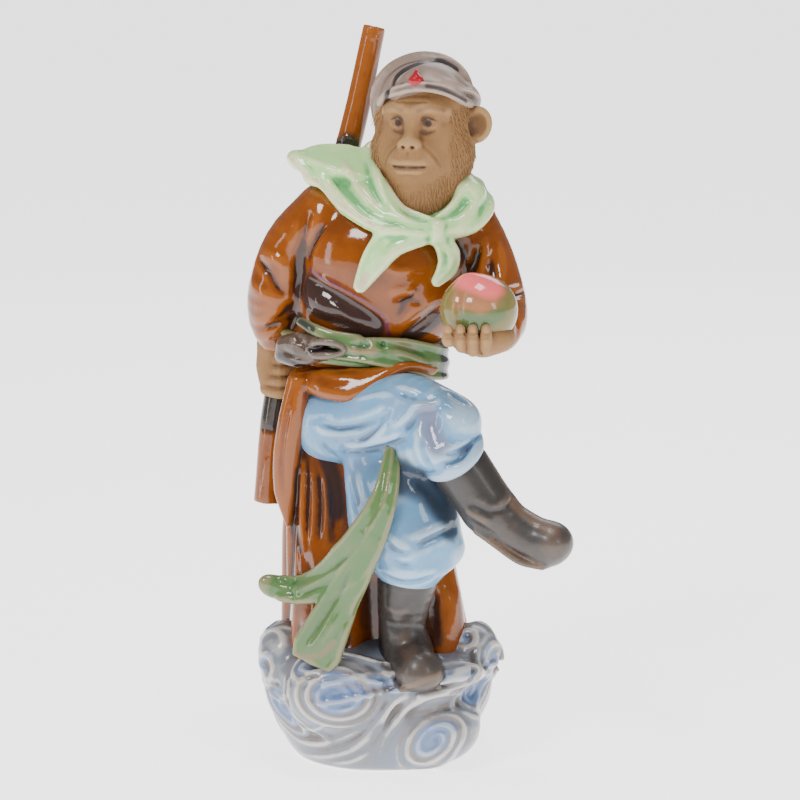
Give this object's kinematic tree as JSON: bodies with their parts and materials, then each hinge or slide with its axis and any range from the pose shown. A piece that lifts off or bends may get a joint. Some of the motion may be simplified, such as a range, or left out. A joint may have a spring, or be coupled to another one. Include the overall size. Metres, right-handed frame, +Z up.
{
  "type": "ceramic monkey figure",
  "caption": "Glazed ceramic figure of a seated monkey in jacket, cap and scarf, one leg crossed, with a peach and a staff, on a cloud base.",
  "frame": {"origin": "centre of the flat underside of the cloud base", "axes": "+Z up along the figure, -Y the way the seated figure's body faces, +X towards the figure's left hand, which holds the peach"},
  "size_m": [0.1293, 0.1035, 0.293],
  "materials": {
    "amber_glaze": "gloss",
    "celadon_glaze": "gloss",
    "blue_glaze": "gloss",
    "cloud_glaze": "gloss",
    "peach_glaze": "gloss",
    "grey_slip": "satin",
    "bare_clay": "matte"
  },
  "bodies": {
    "root": {"monkey_figure": "amber_glaze"}
  },
  "joints": []
}
